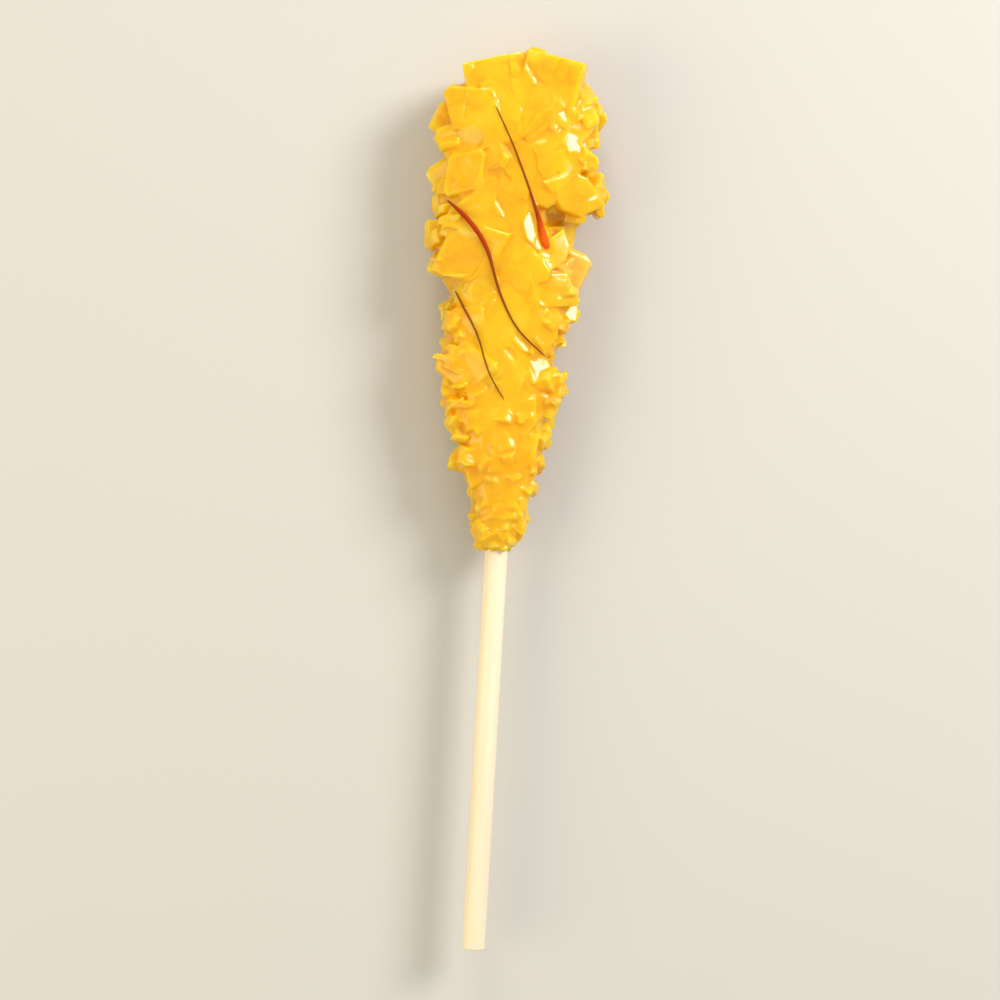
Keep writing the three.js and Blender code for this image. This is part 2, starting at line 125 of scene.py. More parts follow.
# Crystals, with each range from a random draw of 0 to one of 1, and growth from the narrow end to the wide
# end. Lengths are in millimetres, and angles in degrees, apart from rolls and half_round in radians.
PLATES = {
    "start": 16, "end": 73, "pitch": 6.4, "spread": 0.8, "stray": (-1.3, 1.3), "slide": (-1.9, 1.9),
    "tilt": 3.5, "sunk": 0.35, "depth": (0.3, 0), "growth": (5.3, 11.5), "size": (0.6, 1.3),
    "slimness": (0.7, 1), "clear": 3, "room_share": 1.6, "overhang": 1.5, "least": 1.4,
}
EDGES = {
    "start": 13, "end": 77, "pitch": 2.2, "slide": (-0.55, 0.55), "level": 12, "stray": (-5, 5),
    "tilt": 12, "growth": (3.4, 6.2), "size": (0.8, 1.3), "reach": (0.2, -1.6), "breadth": (1.4, 3.6),
    "roll": (-0.35, 0.35),
}
TEETH = [
    {"tip": (-14.5, 71.6), "lean": 151, "width": 4.2, "breadth": 5.0},
    {"tip": (-14.9, 51.4), "lean": 186, "width": 6.0, "breadth": 4.6},
    {"tip": (14.2, 56.0), "lean": -66, "width": 1.5, "breadth": 3.6},
    {"tip": (14.2, 61.4), "lean": -4, "width": 5.6, "breadth": 3.0},
    {"tip": (-8.2, 14.8), "lean": 157, "width": 3.6, "breadth": 3.4},
    {"tip": (9.9, 27.3), "lean": 0, "width": 5.0, "breadth": 3.6},
    {"tip": (12.4, 75.6), "lean": 22, "width": 3.6, "breadth": 1.8},
]
TOOTH = {"tilt": 5, "rise": (-1, 1), "roll": (-0.15, 0.15)}
GRAINS = {
    "start": 2.2, "end": 27, "pitch": 3.9, "spacing": 4.9, "fewest": 5, "turn": (0, 0.4),
    "slide": (-1, 1), "tilt": 26, "size": (0.7, 1.2), "growth": (2.2, 5.6), "breadth": (0.8, 1.6),
    "rise": (-0.48, 0.32), "length": 4.2,
}
CROWN = {
    "count": 10, "fan": 66, "lift": 0.12, "tilt": 8, "reach": 11.6, "back": (4.4, 6.0), "bow": 6,
    "level": 2.8, "stray": (-0.4, 0.4), "width": (5, 8), "breadth": (3.5, 5.3), "roll": (-0.25, 0.25),
}
ROOF = [
    {"middle": (-5.2, 80.9), "lean": -15, "width": 10.2, "rise": 4.0},
    {"middle": (-6.0, 79.9), "lean": -21, "width": 8.4, "rise": 1.7},
    {"middle": (-2.9, 80.3), "lean": -7, "width": 7.6, "rise": -0.9},
    {"middle": (5.6, 81.4), "lean": 11.5, "width": 9.8, "rise": 4.9},
    {"middle": (6.6, 80.2), "lean": 17, "width": 8.0, "rise": 2.3},
    {"middle": (3.4, 80.6), "lean": 4, "width": 8.6, "rise": -0.2},
    {"middle": (-1.6, 79.2), "lean": -4, "width": 9.4, "rise": -3.2},
]
ROOF_THICKNESS = 2.7
# Small crystals on the large ones. Crowding draws them to the narrow end, and a share of them lies on the
# faces there, up to face_end. The others lie within half_round of an edge, and half of those are flakes.
FINE = {
    "start": 0.015, "span": 0.95, "crowding": 1.3, "half_round": 0.62, "on_face": 0.6, "face_end": 34,
    "flat_tilt": 9, "tilt": 34, "width": 2.5, "size": (0.5, 1.4), "breadth": (0.6, 1.5),
    "lift": (0.08, 0.4), "face_lift": 0.9, "flakes": 0.5, "edge_round": 0.5,
}
FLAKE = {"width": (2.2, 4.6), "breadth": (0.7, 1.6), "lift": (-0.1, 0.5), "roll": (-0.5, 0.5)}
# How far small crystals keep from the candy's widest places
EDGE_ROOM = 0.9 * MM
# Small crystals on the wide end's end, across and up from the stick's axis
END = {
    "count": 26, "across": (-9, 9), "up": (-6, 2), "fan": 20, "tilt": 28, "width": (1.4, 3.4),
    "breadth": (0.6, 1.2), "lift": (0, 0.4),
}
# Small crystals round the stick at the narrow end, by their way out from its axis
COLLAR = {
    "count": 22, "out": (2.3, 3.7), "tilt": 24, "width": (0.8, 2.0), "breadth": (0.7, 1.2),
    "lift": (0, 0.5),
}
# How far outside the candy, or above it, a ray starts that looks for its surface
OUTSIDE = 8
ABOVE = 20
DOWN = Vector((0, 0, -1))

# The kinds of crystal: height, shoulder under the free end, how far the end narrows, lean and cut corners
KINDS = {
    "plate": {"height": 4.2, "shoulder": 0.35, "taper": (0.93, 0.93), "lean": 0.2, "cut": 0.3},
    "slab": {"height": 4.2, "shoulder": 0.3, "taper": (0.9, 0.95), "lean": -0.34, "cut": 0.16},
    "edge": {"height": 6.5, "shoulder": 0.7, "taper": (0.6, 0.86), "lean": 0.12, "cut": 0},
    "grain": {"height": 4.2, "shoulder": 0.7, "taper": (0.5, 0.8), "lean": 0.12, "cut": 0},
    "crown": {"height": 15, "shoulder": 1.2, "taper": (0.8, 0.6), "lean": 0.12, "cut": 0.25},
    "roof": {"height": 22, "shoulder": 0.8, "taper": (0.97, 0.8), "lean": 0.05, "cut": 0},
    "fine": {"height": 3.4, "shoulder": 0.5, "taper": (0.6, 0.75), "lean": 0.12, "cut": 0.22},
    "flake": {"height": 3.4, "shoulder": 0.3, "taper": (0.8, 0.8), "lean": 0.14, "cut": 0.2},
}

# Saffron threads on the upper face: each one's route in millimetres from the narrow end, and half its
# width from one end of the route to the other
THREADS = [
    {"name": "thread_upper",
     "route": [(-4.3, 72.5), (-0.4, 64.8), (3.2, 56.2), (5.5, 49.6)],
     "halves": [0.12, 0.13, 0.15, 0.18, 0.28, 0.56, 0.62]},
    {"name": "thread_middle",
     "route": [(-11.4, 56.8), (-7.4, 53.3), (-4.4, 49.0), (-1.8, 41.9), (1.4, 36.3), (6.3, 32.0)],
     "halves": [0.2, 0.38, 0.36, 0.24, 0.18, 0.15, 0.12]},
    {"name": "thread_lower",
     "route": [(-9.2, 42.0), (-7.2, 38.6), (-5.0, 34.6), (-2.9, 28.9), (-0.2, 24.6)],
     "halves": [0.15, 0.2, 0.17, 0.15, 0.13, 0.12, 0.1]},
]
THREAD_STEPS = 40
# Places round a thread where the sugar's height is felt, over how many steps each way a thread lies on
# the highest crest and has its height eased, and how it narrows over its ends' last steps
THREAD_PROBES = [(0, 0), (0.3, 0), (-0.3, 0), (0, 0.3), (0, -0.3)]
THREAD_CREST = 2
THREAD_EASE = 3
THREAD_END = [0.4, 0.85, 1]

FORM_SEED = 23
FINE_SEED = 61
FACET_SEED = 5

# Broad facets of the upper and under faces: how many, their greatest tilt and how deep they may cut, how
# much longer than wide they are, and how level and how far along the candy the faces have to be
FACETS = {
    "count": 150, "tilt": 2.5, "deepest": 0.45, "stretch": 0.6, "ease": 20, "level": (0.8, 0.95),
    "along": (14, 30), "least": 0.2, "glint_depth": 0.1,
}
# Places on the upper face where a facet is turned to the light and glints
GLINTS = [(1.1, 78.6), (-2.4, 55.7), (1.8, 34.4), (1.3, 31.0), (10.2, 65.5), (4.2, 50.8)]
GLINT_TURN = Vector((0.35, 0.25, 0.90))
# A lobe of clearer, paler sugar at the right edge
CLEAR_LOBE = Vector((11.2, 47.2, 3))
# Rounds of easing that tell standing-out rims and hollows from their surroundings, and the thickness under
# which sugar counts as thin; these masks carry the painted rim highlights, the painted shade in hollows and
# the painted light through thin sugar
RIM_ROUNDS = 8
THIN = 3 * MM
SKIN = 0.02 * MM
MOST_TRIANGLES = 190000
SMOOTH_BELOW = math.radians(40)
# The sugar's bore is narrower and shorter than the stick in it, so that no gap shows round the stick
BORE = {"narrower": 0.6 * MM, "shorter": 0.3 * MM, "past": 20 * MM, "sides": 48}
# Side of the block that cuts the sugar level with the floor
FLOOR_CUT = 0.4
STICK_EASE = 0.3 * MM

# Sizes of the sugar's patterns, in repeats a metre, and how far its seams are bent
PATTERNS = {"clouds": 110, "cells": 420, "patches": 300, "waves": 250, "seams": 210, "fading": 180}
SEAM_BEND = 0.004
# Layers of colour in the sugar, from the deepest up: a pattern, the two values between which the layer
# comes in, its share at both, and its colour
SUGAR_LAYERS = [
    ("clouds", (0.42, 0.62), (0, 1), "clouded_colour"),
    ("cells", (0, 1), (0, 0.22), "pale_and_painted_light_colour"),
    ("patches", (0.56, 0.68), (0, 0.4), "pale_and_painted_light_colour"),
    ("seams", (0, 1), (0, 1), "seam_colour"),
    # Painted highlight: edges that stand out are painted paler, as if they catch the light
    ("painted_rim_light_crease_shade", (0.05, 0.16), (0, 0.5), "pale_and_painted_light_colour"),
    # Painted light: thin sugar is painted paler, standing in for light that shines through it
    ("thin", (0.3, 0.9), (0, 0.6), "pale_and_painted_light_colour"),
    ("lobe", (0.002, 0.007), (0.8, 0), "clear_colour"),
    # Painted shade: hollows between crystals go back to the deep colour, as if shaded
    ("painted_rim_light_crease_shade", (-0.14, -0.02), (0.7, 0), "deep_and_crease_shade_colour"),
]

# Round lights that point at the stirrer
LIGHTS = [
    {"name": "key", "place": (0.46, 0.34, 0.42), "size": 0.3, "power": 4.8, "colour": (1, 0.97, 0.92)},
    {"name": "fill", "place": (-0.50, -0.15, 0.36), "size": 0.5, "power": 2.2, "colour": (1, 0.87, 0.45)},
    {"name": "back", "place": (-0.10, 0.62, 0.26), "size": 0.2, "power": 1.5, "colour": (1, 0.95, 0.84)},
]


class SugarSettings(bpy.types.PropertyGroup):
    """Sizes and colours of the grown sugar"""

    edge_round: bpy.props.FloatProperty(
        name="Edge rounding", description="How far the crystals' edges are rounded",
        default=0.00007, unit="LENGTH")
    grain: bpy.props.FloatProperty(
        name="Grain", description="Size of the finest detail of the melted sugar",
        default=0.00018, unit="LENGTH")
    fine_count: bpy.props.IntProperty(
        name="Fine crystals", description="How many small crystals grow between the large ones",
        default=300)
    # The deep colour is the sugar's own colour, and it is also painted into hollows as painted shade
    deep_and_crease_shade_colour: bpy.props.FloatVectorProperty(
        name="Deep colour", description="Colour where the sugar is clear and thick",
        subtype="COLOR", size=3, default=(0.98, 0.50, 0.001))
    clouded_colour: bpy.props.FloatVectorProperty(
        name="Clouded colour", description="Colour where the sugar is clouded",
        subtype="COLOR", size=3, default=(1.0, 0.59, 0.002))
    # The pale colour gives random paler cells and patches, and also painted light: a painted highlight on
    # standing-out rims and painted light shining through thin sugar
    pale_and_painted_light_colour: bpy.props.FloatVectorProperty(
        name="Pale colour", description="Colour of the thin rims and tips",
        subtype="COLOR", size=3, default=(1.0, 0.67, 0.035))
    seam_colour: bpy.props.FloatVectorProperty(
        name="Seam colour", description="Colour of the seams between crystals inside the sugar",
        subtype="COLOR", size=3, default=(0.82, 0.35, 0.001))
    clear_colour: bpy.props.FloatVectorProperty(
        name="Clear colour", description="Colour of the paler lobe at the right edge",
        subtype="COLOR", size=3, default=(0.90, 0.56, 0.09))


class ThreadSettings(bpy.types.PropertyGroup):
    """Sizes and colours of the saffron threads"""

    sunk: bpy.props.FloatProperty(
        name="Sunk", description="How deep the threads' middle lies under the sugar's surface",
        default=0.00008, unit="LENGTH")
    dark_colour: bpy.props.FloatVectorProperty(
        name="Dark colour", description="Colour of the thin ends",
        subtype="COLOR", size=3, default=(0.17, 0.060, 0.003))
    red_colour: bpy.props.FloatVectorProperty(
        name="Red colour", description="Colour of the thicker stretches",
        subtype="COLOR", size=3, default=(0.34, 0.020, 0.001))
    bright_colour: bpy.props.FloatVectorProperty(
        name="Bright colour", description="Colour of the flared ends",
        subtype="COLOR", size=3, default=(0.82, 0.10, 0.003))


class StickSettings(bpy.types.PropertyGroup):
    """Sizes and colours of the stick"""

    sides: bpy.props.IntProperty(name="Sides", description="Sides of the round stick", default=64)
    colour: bpy.props.FloatVectorProperty(
        name="Colour", description="Colour of the stick",
        subtype="COLOR", size=3, default=(0.83, 0.70, 0.51))


class StudioSettings(bpy.types.PropertyGroup):
    """Floor, lights and camera"""

    floor_colour: bpy.props.FloatVectorProperty(
        name="Floor", description="Colour of the floor",
        subtype="COLOR", size=3, default=(0.53, 0.52, 0.505))
    floor_size: bpy.props.FloatProperty(
        name="Floor size", description="Side of the floor", default=6, unit="LENGTH")
    sky_colour: bpy.props.FloatVectorProperty(
        name="Sky", description="Colour of the light from all round",
        subtype="COLOR", size=3, default=(1, 0.985, 0.955))
    sky_strength: bpy.props.FloatProperty(
        name="Sky strength", description="Strength of the light from all round", default=0.62)
    roll: bpy.props.FloatProperty(
        name="Camera roll", description="Turn of the camera about its line of sight",
        subtype="ANGLE", default=math.radians(3.3))
    lens: bpy.props.FloatProperty(name="Lens", description="Focal length in millimetres", default=85)
    filled: bpy.props.FloatProperty(
        name="Filled", description="Share of the picture's height that the stirrer fills", default=0.9)


# Helpers for selecting and finishing meshes

def deselect_all():
    if bpy.context.mode != "OBJECT":
        bpy.ops.object.mode_set(mode="OBJECT")
    bpy.ops.object.select_all(action="DESELECT")


def select_only(obj):
    deselect_all()
    obj.select_set(True)
    bpy.context.view_layer.objects.active = obj


def select_parts(obj, domain, test):
    """Selects the vertices, edges or faces of a mesh that pass a test, and nothing else."""
    bpy.ops.object.mode_set(mode="EDIT")
    bpy.ops.mesh.select_mode(type=domain)
    bpy.ops.mesh.select_all(action="DESELECT")
    mesh = bmesh.from_edit_mesh(obj.data)
    parts = {"VERT": mesh.verts, "EDGE": mesh.edges, "FACE": mesh.faces}[domain]
    for part in parts:
        if test(part):
            part.select_set(True)
    mesh.select_flush_mode()
    bmesh.update_edit_mesh(obj.data)


def add_modifier(obj, name, kind, **settings):
    modifier = obj.modifiers.new(name, kind)
    for setting, value in settings.items():
        setattr(modifier, setting, value)


def apply_modifiers(obj):
    select_only(obj)
    for modifier in list(obj.modifiers):
        bpy.ops.object.modifier_apply(modifier=modifier.name)


def dress(obj, material):
    obj.data.materials.clear()
    obj.data.materials.append(material)


# The candy's form

def random_stream(seed):
    """Repeatable random numbers from 0 to 1."""
    modulus = 2147483647
    state = seed * 7919 + 1
    while True:
        state = (state * 16807) % modulus
        yield (state - 1) / (modulus - 1)


def whole(value):
    return math.floor(value + 0.5)


def through(values, share):
    """A smooth curve through values at even steps, where share runs from 0 to 1."""
    place = min(max(share, 0), 1) * (len(values) - 1)
    step = min(math.floor(place), len(values) - 2)
    f = place - step
    a, b, c, d = (values[min(max(i, 0), len(values) - 1)] for i in range(step - 1, step + 3))
    return b + 0.5 * f * (c - a + f * (2 * a - 5 * b + 4 * c - d + f * (3 * (b - c) + d - a)))


def side_reach(along, side):
    """How far the candy reaches to the left (side -1) or the right (side 1), with its steps."""
    reach = through(LEFT_REACH if side < 0 else RIGHT_REACH, along / CANDY_LENGTH)
    for step in STEPS_IN_EDGE:
        if step["side"] == side:
            off = min(abs(along - step["along"]) / step["half"], 1)
            reach += step["rise"] * (1 - off * off) ** 2
    return reach


def outer_point(along, angle, share=1):
    t = along / CANDY_LENGTH
    side = side_reach(along, -1 if math.cos(angle) < 0 else 1)
    rise = through(UNDER_REACH if math.sin(angle) < 0 else TOP_REACH, t)
    across = (abs(math.cos(angle)) / side) ** SECTION_POWER
    up = (abs(math.sin(angle)) / rise) ** SECTION_POWER
    radius = share * (across + up) ** (-1 / SECTION_POWER)
    return Vector((radius * math.cos(angle), along, radius * math.sin(angle)))


def outer_normal(along, angle):
    step = 0.02
    low, high = max(along - 1, 0), min(along + 1, CANDY_LENGTH)
    alongway = outer_point(high, angle) - outer_point(low, angle)
    around = outer_point(along, angle + step) - outer_point(along, angle - step)
    return alongway.cross(around).normalized()


def between(ends, share):
    low, high = ends
    return low + (high - low) * share


def pick(ends, draw):
    """A random value between two ends."""
    return between(ends, next(draw))


def tilted(direction, degrees, draw):
    turned = direction.copy()
    for axis in ((1, 0, 0), (0, 1, 0), (0, 0, 1)):
        turned.rotate(Quaternion(axis, math.radians(degrees) * pick((-1, 1), draw)))
    return turned.normalized()


def crystal_place(height, tip, outward, roll):
    """The matrix of a crystal whose free end's middle lies at tip, pointing outward."""
    reference = Vector((0, 1, 0)) if abs(outward.y) < 0.8 else Vector((0, 0, 1))
    sideways = reference.cross(outward).normalized()
    sideways.rotate(Quaternion(outward, roll))
    forward = outward.cross(sideways)
    centre = tip - outward * (height / 2)
    turn = Matrix((sideways, forward, outward)).transposed().to_4x4()
    return Matrix.Translation(centre) @ turn


def room_beside(along, across):
    """How far a place lies from the edge on its side, there and a little further up and down."""
    side = -1 if across < 0 else 1
    reaches = [side_reach(along + off, side) for off in (-PLATES["clear"], 0, PLATES["clear"])]
    return min(reaches) - abs(across)


def face_plates(facing, draw):
    """Flat crystals that overlap over the upper face (facing 1) or the under face (facing -1)."""
    rows = whole((PLATES["end"] - PLATES["start"]) / PLATES["pitch"])
    for row in range(rows + 1):
        along = between((PLATES["start"], PLATES["end"]), row / rows)
        t = along / CANDY_LENGTH
        left, right = side_reach(along, -1), side_reach(along, 1)
        columns = max(2, whole(((left + right) * PLATES["spread"]) / PLATES["pitch"]))
        for column in range(columns):
            share = PLATES["spread"] * ((2 * (column + 0.5)) / columns - 1)
            across = (left if share < 0 else right) * share + pick(PLATES["stray"], draw)
            rise = through(UNDER_REACH if facing < 0 else TOP_REACH, t)
            angle = math.atan2(facing * rise * math.sqrt(1 - share * share), across)
            place = along + pick(PLATES["slide"], draw)
            outward = tilted(outer_normal(place, angle), PLATES["tilt"], draw)
            depth = PLATES["sunk"] * (1 - share * share) + pick(PLATES["depth"], draw)
            tip = outer_point(place, angle) - outward * depth
            size = between(PLATES["growth"], t) * pick(PLATES["size"], draw)
            width = min(size, PLATES["room_share"] * room_beside(along, across) + PLATES["overhang"])
            kind = "plate" if next(draw) < 0.5 else "slab"
            breadth = width * pick(PLATES["slimness"], draw)
            roll = 2 * math.pi * next(draw)
            if width > PLATES["least"]:
                yield kind, width, breadth, tip, outward, roll


def edge_crystals(side, draw):
    """Thin plates that stand side by side along an edge, each with its own reach."""
    count = whole((EDGES["end"] - EDGES["start"]) / EDGES["pitch"])
    for step in range(count + 1):
        along = EDGES["start"] + step * EDGES["pitch"] + pick(EDGES["slide"], draw)
        row = EDGES["level"] if step % 2 else -EDGES["level"]
        level = math.radians(row + pick(EDGES["stray"], draw))
        angle = math.pi - level if side < 0 else level
        outward = tilted(outer_normal(along, angle), EDGES["tilt"], draw)
        width = between(EDGES["growth"], along / CANDY_LENGTH) * pick(EDGES["size"], draw)
        tip = outer_point(along, angle) + outward * pick(EDGES["reach"], draw)
        breadth = pick(EDGES["breadth"], draw)
        yield "edge", width, breadth, tip, outward, pick(EDGES["roll"], draw)


def teeth(draw):
    """The plates that stand out of the outline by themselves."""
    for tooth in TEETH:
        lean = math.radians(tooth["lean"])
        outward = tilted(Vector((math.cos(lean), math.sin(lean), 0)), TOOTH["tilt"], draw)
        tip = Vector((*tooth["tip"], pick(TOOTH["rise"], draw)))
        yield "edge", tooth["width"], tooth["breadth"], tip, outward, pick(TOOTH["roll"], draw)


def narrow_end_grains(draw):
    """Small crystals in rings round the narrow end."""
    rings = whole((GRAINS["end"] - GRAINS["start"]) / GRAINS["pitch"])
    for ring in range(rings + 1):
        along = between((GRAINS["start"], GRAINS["end"]), ring / rings)
        t = along / CANDY_LENGTH
        mean = (through(LEFT_REACH, t) + through(TOP_REACH, t)) / 2
        count = max(GRAINS["fewest"], whole(2 * math.pi * mean / GRAINS["spacing"]))
        for turn in range(count):
            angle = ((turn + 0.5 * (ring % 2) + pick(GRAINS["turn"], draw)) / count) * 2 * math.pi
            place = along + pick(GRAINS["slide"], draw)
            outward = tilted(outer_normal(place, angle), GRAINS["tilt"], draw)
            width = between(GRAINS["growth"], t) * pick(GRAINS["size"], draw)
            breadth = width * pick(GRAINS["breadth"], draw)
            tip = outer_point(place, angle) + outward * pick(GRAINS["rise"], draw)
            height = min(GRAINS["length"], mean)
            yield "grain", width, breadth, tip, outward, 2 * math.pi * next(draw), height


def crown_crystals(draw):
    """Large crystals that fan out of the wide end."""
    for i in range(CROWN["count"]):
        share = (2 * (i + 0.5)) / CROWN["count"] - 1
        level = 1 if i % 2 else -1
        fan = math.radians(CROWN["fan"] * share)
        outward = tilted(Vector((math.sin(fan), math.cos(fan), CROWN["lift"] * level)), CROWN["tilt"], draw)
        width = pick(CROWN["width"], draw)
        breadth = pick(CROWN["breadth"], draw)
        back = CROWN["bow"] * share * share + pick(CROWN["back"], draw)
        height = level * CROWN["level"] + pick(CROWN["stray"], draw)
        tip = Vector((CROWN["reach"] * share, CANDY_LENGTH - back, height))
        yield "crown", width, breadth, tip, outward, pick(CROWN["roll"], draw)


def roof_plates():
    """The wide end's big plates, at a different height each."""
    for plate in ROOF:
        lean = math.radians(plate["lean"])
        outward = Vector((math.sin(lean), math.cos(lean), 0))
        tip = Vector((*plate["middle"], plate["rise"]))
        yield "roof", plate["width"], ROOF_THICKNESS, tip, outward, 0


def main_crystals():
    draw = random_stream(FORM_SEED)
    yield from face_plates(1, draw)
    yield from face_plates(-1, draw)
    yield from edge_crystals(-1, draw)
    yield from edge_crystals(1, draw)
    yield from teeth(draw)
    yield from narrow_end_grains(draw)
    yield from crown_crystals(draw)
    yield from roof_plates()


def model_crystal(kind):
    """One crystal of a kind, 1 wide and 1 broad at its true height, standing with its free end up."""
    form = KINDS[kind]
    lean = form["lean"]
    deselect_all()
    bpy.ops.mesh.primitive_cube_add(size=1)
    crystal = bpy.context.active_object
    crystal.name = "crystal_" + kind
    select_parts(crystal, "VERT", lambda v: v.co.y > 0)
    bpy.ops.transform.translate(value=(lean, 0, 0))
    bpy.ops.mesh.select_all(action="SELECT")
    bpy.ops.transform.translate(value=(-lean / 2, 0, 0))
    if form["cut"]:
        select_parts(crystal, "EDGE", lambda e: abs(e.verts[0].co.z - e.verts[1].co.z) > 0.5
                     and e.verts[0].co.x * e.verts[0].co.y < 0)
        bpy.ops.mesh.bevel(offset_type="OFFSET", offset=form["cut"], segments=1, affect="EDGES")
    bpy.ops.mesh.select_all(action="SELECT")
    bpy.ops.transform.resize(value=(1, 1, form["height"]))
    half = form["height"] / 2
    select_parts(crystal, "FACE", lambda f: f.normal.z > 0.9)
    bpy.ops.transform.translate(value=(0, 0, -form["shoulder"]))
    bpy.ops.mesh.extrude_region_move(TRANSFORM_OT_translate={"value": (0, 0, form["shoulder"])})
    bpy.ops.transform.resize(value=(*form["taper"], 1), center_override=(0, 0, half))
    bpy.ops.object.mode_set(mode="OBJECT")
    return crystal


def place_crystal(kinds, crystal, collection, edge_round):
    """A copy of a kind of crystal at its place, with its own mesh and rounded edges."""
    kind, width, breadth, tip, outward, roll, *rest = crystal
    height = rest[0] if rest else KINDS[kind]["height"]
    tall = height / KINDS[kind]["height"]
    copy = kinds[kind].copy()
    copy.data = kinds[kind].data.copy()
    place = TO_FRAME @ crystal_place(height, tip, outward, roll)
    copy.data.transform(place @ Matrix.Diagonal((width, breadth, tall, 1)))
    collection.objects.link(copy)
    if edge_round:
        add_modifier(copy, "Rounded edges", "BEVEL", width=edge_round, segments=2,
                     limit_method="ANGLE", angle_limit=math.radians(20))
    return copy


def model_mass(name, form):
    """A mass that follows the candy's form: a cylinder cut into rings and drawn out to it."""
    deselect_all()
    bpy.ops.mesh.primitive_cylinder_add(
        vertices=form["sides"], radius=1, depth=1, end_fill_type="NGON", rotation=(-math.pi / 2, 0, 0))
    mass = bpy.context.active_object
    mass.name = name
    bpy.ops.object.transform_apply(location=True, rotation=True, scale=True)
    bpy.ops.object.mode_set(mode="EDIT")
    for ring in range(1, form["rings"]):
        bpy.ops.mesh.select_all(action="SELECT")
        bpy.ops.mesh.bisect(plane_co=(0, ring / form["rings"] - 0.5, 0), plane_no=(0, 1, 0))
    bpy.ops.object.mode_set(mode="OBJECT")
    turn = 2 * math.pi / form["sides"]
    for vertex in mass.data.vertices:
        ring = (vertex.co.y + 0.5) * form["rings"]
        side = math.atan2(vertex.co.z, vertex.co.x) / turn
        draw = random_stream(1 + whole(ring) * form["sides"] + whole(side) % form["sides"])
        next(draw)
        inner = 0 < whole(ring) < form["rings"]
        ring += form["uneven"] * (2 * next(draw) - 1) * inner
        side += form["uneven"] * (2 * next(draw) - 1)
        share = 1 - BODY_HOLLOW * form["uneven"] * next(draw)
        along = form["start"] + ring / form["rings"] * (form["end"] - form["start"])
        vertex.co = outer_point(along, side * turn, share) * Vector((form["across"], 1, form["up"]))
    mass.data.transform(TO_FRAME)
    return mass


def surface_of(objects):
    """A search tree of the outer surface of several meshes together."""
    points, faces = [], []
    for obj in objects:
        start = len(points)
        points += [vertex.co.copy() for vertex in obj.data.vertices]
        faces += [[start + i for i in polygon.vertices] for polygon in obj.data.polygons]
    return BVHTree.FromPolygons(points, faces)


def meet(surface, start, way):
    """Where a ray meets the sugar and which way the sugar faces there, or None for both."""
    return surface.ray_cast(TO_FRAME @ start, way)[:2]


def fine_crystals(surface, count):
    """Grains and thin flakes on the large crystals, most of them along the edges and the narrow half."""
    draw = random_stream(FINE_SEED)
    made = 0
    while made < count:
        along = CANDY_LENGTH * (FINE["start"] + FINE["span"] * next(draw) ** FINE["crowding"])
        on_face = next(draw) < FINE["on_face"] * max(0, 1 - along / FINE["face_end"])
        side = 0 if next(draw) < 0.5 else math.pi
        half_round = math.pi / 2 if on_face else FINE["half_round"]
        angle = side + pick((-half_round, half_round), draw)
        normal = outer_normal(along, angle)
        hit, face = meet(surface, outer_point(along, angle) + normal * OUTSIDE, -normal)
        flake = next(draw) < FINE["flakes"] and not on_face
        tilt = FINE["flat_tilt"] if on_face or flake else FINE["tilt"]
        outward = tilted(((face or normal) + normal).normalized(), tilt, draw)
        if flake:
            width, breadth, lift, roll = (
                pick(FLAKE[size], draw) for size in ("width", "breadth", "lift", "roll"))
        else:
            width = FINE["width"] * between(FINE["size"], next(draw) ** 2)
            breadth = width * pick(FINE["breadth"], draw)
            lift = pick(FINE["lift"], draw) * (FINE["face_lift"] if on_face else 1)
            roll = 2 * math.pi * next(draw)
        if hit is None or not CANDY_LOW.x + EDGE_ROOM < hit.x < CANDY_HIGH.x - EDGE_ROOM:
            continue
        made += 1
        yield "flake" if flake else "fine", width, breadth, FROM_FRAME @ hit + outward * lift, outward, roll


def small_crystal(form, hit, outward, draw):
    """A small crystal where a ray met the sugar, and none where it missed."""
    width = pick(form["width"], draw)
    breadth = width * pick(form["breadth"], draw)
    lift = pick(form["lift"], draw)
    roll = 2 * math.pi * next(draw)
    if hit is not None:
        yield "fine", width, breadth, FROM_FRAME @ hit + outward * lift, outward, roll


def end_crystals(surface):
    """Small crystals on the wide end's end, under its roof."""
    draw = random_stream(FINE_SEED + 1)
    for _ in range(END["count"]):
        across = pick(END["across"], draw)
        up = pick(END["up"], draw)
        hit, _ = meet(surface, Vector((across, CANDY_LENGTH + OUTSIDE, up)), Vector((0, -1, 0)))
        outward = Vector((across / END["fan"], 1, up / END["fan"])).normalized()
        yield from small_crystal(END, hit, tilted(outward, END["tilt"], draw), draw)


def collar_crystals(surface):
    """Small crystals round the stick, where it comes out of the narrow end."""
    draw = random_stream(FINE_SEED + 2)
    for turn in range(COLLAR["count"]):
        angle = 2 * math.pi * (turn + next(draw)) / COLLAR["count"]
        out = pick(COLLAR["out"], draw)
        around = Vector((math.cos(angle), 0, math.sin(angle)))
        hit, _ = meet(surface, around * out - Vector((0, OUTSIDE, 0)), Vector((0, 1, 0)))
        outward = (around - Vector((0, 1, 0))).normalized()
        yield from small_crystal(COLLAR, hit, tilted(outward, COLLAR["tilt"], draw), draw)


def crest_under(surface, across, along):
    """A place of the upper face, as high as the highest crest of the sugar close round it."""
    hits = [meet(surface, Vector((across + x, along + y, ABOVE)), DOWN)[0] for x, y in THREAD_PROBES]
    if None in hits:
        raise RuntimeError("a thread runs off the sugar")
    return Vector((*hits[0].xy, max(hit.z for hit in hits)))


def cut_away(obj, cutter):
    add_modifier(obj, "Cut", "BOOLEAN", operation="DIFFERENCE", solver="MANIFOLD", object=cutter)
    apply_modifiers(obj)
    bpy.data.objects.remove(cutter)


